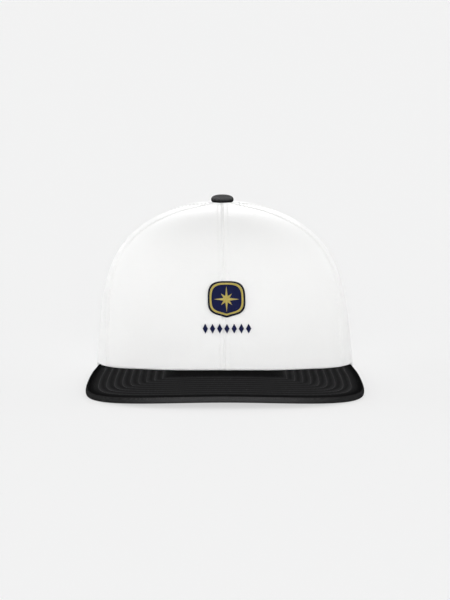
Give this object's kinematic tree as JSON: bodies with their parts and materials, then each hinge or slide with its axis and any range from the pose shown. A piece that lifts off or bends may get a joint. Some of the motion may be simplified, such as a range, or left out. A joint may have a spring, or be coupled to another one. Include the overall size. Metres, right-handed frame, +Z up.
{
  "type": "snapback cap",
  "caption": "Flat-peaked cap with a structured panelled crown, a covered button, a sweatband, a half-moon back opening and snap straps.",
  "frame": {"origin": "middle of the cap's plan, on the surface that its rim and peak rest on", "axes": "+Z up through the crown, -Y to the peak's front edge, +X to the wearer's left"},
  "size_m": [0.1802, 0.2618, 0.118],
  "materials": {
    "white_twill": "matt white cotton twill with topstitched seams",
    "black_twill": "matt black cotton twill with rows of stitching",
    "white_band": "soft matt white woven band and tape",
    "black_plastic": "satin black moulded plastic",
    "navy_thread": "navy embroidery with a soft sheen",
    "gold_thread": "gold embroidery with a soft sheen"
  },
  "bodies": {
    "root": {"front_panel_left": "white_twill", "front_panel_right": "white_twill", "side_panel_left": "white_twill", "side_panel_right": "white_twill", "back_panel_left": "white_twill", "back_panel_right": "white_twill", "top_button": "black_twill", "peak_upper": "black_twill", "peak_under": "black_twill", "sweatband": "white_band", "arch_tape": "white_band", "snap_strap_holes": "black_plastic", "snap_strap_pegs": "black_plastic", "badge_patch": "navy_thread", "badge_border": "gold_thread", "badge_star": "gold_thread", "lozenge_1": "navy_thread", "lozenge_2": "navy_thread", "lozenge_3": "navy_thread", "lozenge_4": "navy_thread", "lozenge_5": "navy_thread", "lozenge_6": "navy_thread", "lozenge_7": "navy_thread"}
  },
  "joints": []
}
